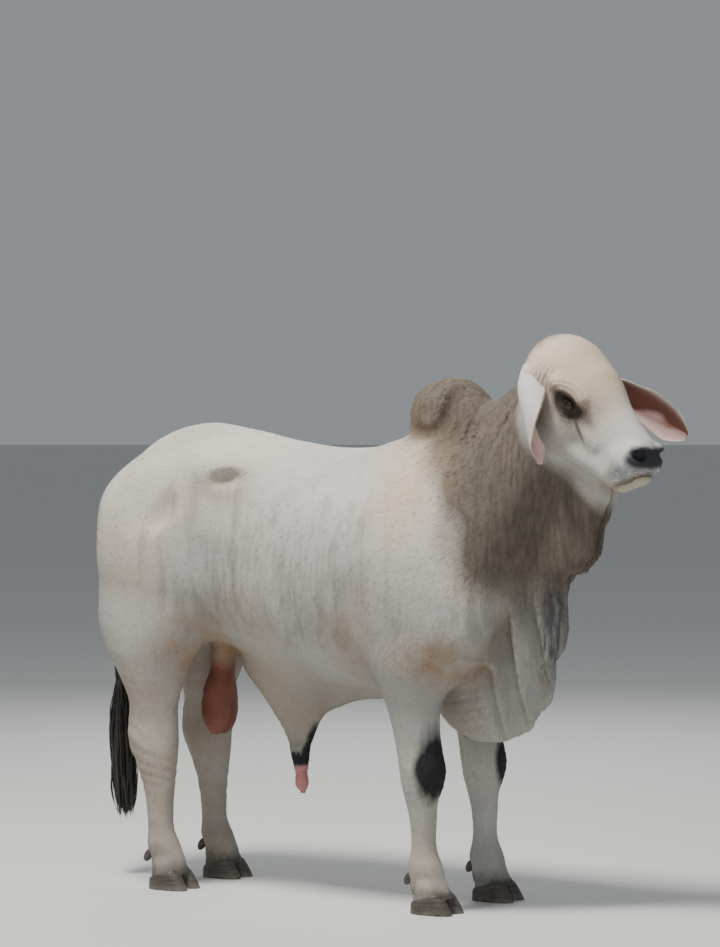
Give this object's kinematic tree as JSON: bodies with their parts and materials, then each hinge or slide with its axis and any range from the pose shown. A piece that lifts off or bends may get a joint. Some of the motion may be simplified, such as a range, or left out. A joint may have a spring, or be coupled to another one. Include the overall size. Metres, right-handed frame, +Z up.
{
  "type": "standing brahman bull",
  "caption": "Life-size still model of a standing humped zebu bull with hanging ears, a long dewlap, cloven hooves and a tufted tail",
  "frame": {"origin": "middle of the plan of the whole bull, on the ground that its hooves stand on", "axes": "+X forward, from tail to muzzle; +Y to the bull's left; +Z up"},
  "size_m": [2.1538, 0.6665, 1.8375],
  "materials": {
    "white_hide": "short white to pale grey hair over loose skin",
    "grey_hide": "short grey-brown hair over loose, folded skin",
    "face_hide": "fine cream hair, bare grey muzzle and pinkish nose",
    "ear_hide": "thin skin, pale short hair outside, pink and red-brown inside",
    "pink_skin": "bare pink skin, slightly moist",
    "hoof_horn": "dark horn, dull, with fine rings",
    "black_hair": "coarse black hair",
    "eye_wet": "wet dark brown eye"
  },
  "bodies": {
    "root": {"hindleg_right": "white_hide", "claw_hindleg_right_outer": "hoof_horn", "dewclaw_hindleg_right_outer": "hoof_horn", "claw_hindleg_right_inner": "hoof_horn", "dewclaw_hindleg_right_inner": "hoof_horn", "hindleg_left": "white_hide", "claw_hindleg_left_outer": "hoof_horn", "dewclaw_hindleg_left_outer": "hoof_horn", "claw_hindleg_left_inner": "hoof_horn", "dewclaw_hindleg_left_inner": "hoof_horn", "foreleg_right": "white_hide", "claw_foreleg_right_outer": "hoof_horn", "dewclaw_foreleg_right_outer": "hoof_horn", "claw_foreleg_right_inner": "hoof_horn", "dewclaw_foreleg_right_inner": "hoof_horn", "foreleg_left": "white_hide", "claw_foreleg_left_outer": "hoof_horn", "dewclaw_foreleg_left_outer": "hoof_horn", "claw_foreleg_left_inner": "hoof_horn", "dewclaw_foreleg_left_inner": "hoof_horn", "torso": "white_hide", "neck": "grey_hide", "hump": "grey_hide", "head": "face_hide", "dewlap_throat": "grey_hide", "dewlap_chest": "white_hide", "sheath": "white_hide", "prepuce": "pink_skin", "scrotum": "pink_skin", "tail": "white_hide", "tail_switch": "black_hair", "ear_right": "ear_hide", "ear_left": "ear_hide", "eye_right": "eye_wet", "eye_left": "eye_wet"}
  },
  "joints": []
}
